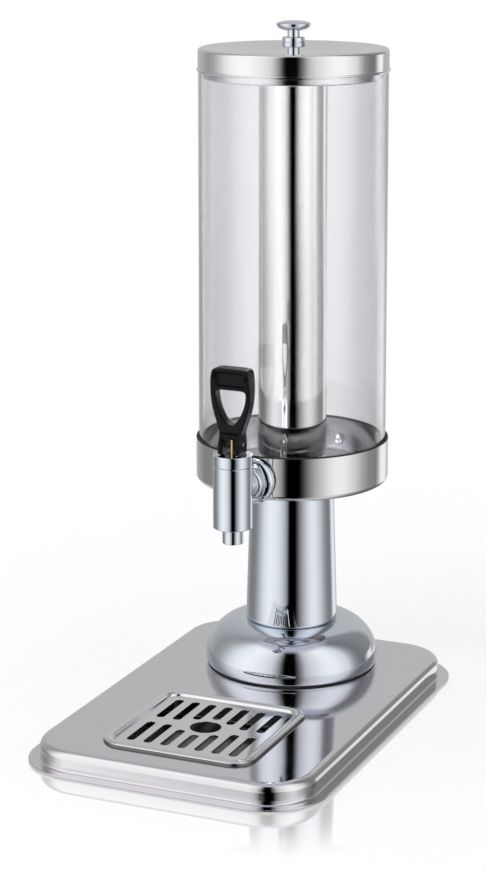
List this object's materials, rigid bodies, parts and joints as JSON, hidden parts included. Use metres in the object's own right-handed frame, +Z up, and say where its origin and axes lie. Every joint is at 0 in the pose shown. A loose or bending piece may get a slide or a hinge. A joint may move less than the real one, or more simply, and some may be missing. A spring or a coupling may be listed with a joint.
{
  "type": "juice dispenser",
  "caption": "Tabletop juice dispenser: clear tube with a central ice tube on a chrome column, lever tap, lift-off lid and drip tray.",
  "frame": {"origin": "centre of the base's footprint on the surface", "axes": "+Z up, -Y towards the user at the tap, +X to the user's right"},
  "size_m": [0.27, 0.4, 0.6115],
  "materials": {
    "satin_steel": "satin brushed stainless steel, faint grain",
    "polished_steel": "polished stainless steel with a fine turned grain",
    "chrome": "mirror chrome",
    "plain_steel": "plain zinc-plated steel of fasteners and hidden plates",
    "clear_plastic": "clear polycarbonate, faintly grey",
    "black_plastic": "black moulded plastic, soft gloss",
    "black_rubber": "matt black rubber",
    "white_silicone": "translucent white silicone",
    "brass": "bare turned brass",
    "spring_steel": "drawn stainless wire"
  },
  "bodies": {
    "stand": {"base_pan": "satin_steel", "base_feet": "black_rubber", "feet_screws": "plain_steel", "foot_stiffener": "plain_steel", "foot_gasket": "black_rubber", "foot_dome": "chrome", "column": "chrome", "tie_rod": "plain_steel", "rod_washer": "plain_steel", "rod_nut": "plain_steel", "cup": "polished_steel", "cup_lip_seal": "black_rubber", "tube_seal": "white_silicone", "clear_tube": "clear_plastic", "rear_rivet": "polished_steel", "ice_gasket": "black_rubber", "ice_tube": "polished_steel", "tap_body": "chrome", "tap_bonnet": "chrome", "stem_oring": "black_rubber", "tap_shank": "plain_steel", "ring_nut": "chrome", "rosette": "chrome", "outer_gasket": "black_rubber", "wall_gasket": "black_rubber", "inner_gasket": "black_rubber", "shank_nut": "plain_steel"},
    "lid": {"lid_shell": "polished_steel", "lid_plug": "polished_steel", "knob": "chrome", "knob_washer": "plain_steel", "knob_screw": "plain_steel"},
    "tray": {"drip_tray": "polished_steel"},
    "grille": {"drip_grille": "polished_steel"},
    "valve_stem": {"stem": "brass", "seat_cup": "white_silicone", "tap_spring": "spring_steel"},
    "handle": {"handle": "black_plastic", "handle_pin": "plain_steel"}
  },
  "joints": [
    {"name": "handle_tilt", "type": "hinge", "parent": "valve_stem", "child": "handle", "pos_m": [0, -0.034, 0.2564], "axis": [1, 0, 0], "range_deg": [0, 30]},
    {"name": "stem_lift", "type": "slide", "parent": "stand", "child": "valve_stem", "axis": [0, 0, 1], "range_m": [0, 0.003], "stiffness_N_per_m": 2000, "springref_m": -0.005, "deforming": ["tap_spring"]},
    {"name": "lid_lift", "type": "slide", "parent": "stand", "child": "lid", "axis": [0, 0, 1], "range_m": [0, 0.12]},
    {"name": "tray_lift", "type": "slide", "parent": "stand", "child": "tray", "axis": [0, 0, 1], "range_m": [0, 0.06]},
    {"name": "grille_lift", "type": "slide", "parent": "tray", "child": "grille", "axis": [0, 0, 1], "range_m": [0, 0.04]}
  ],
  "couplings": [
    {"joint": "handle_tilt", "follows": "stem_lift", "rad_per_m": 174.5}
  ]
}
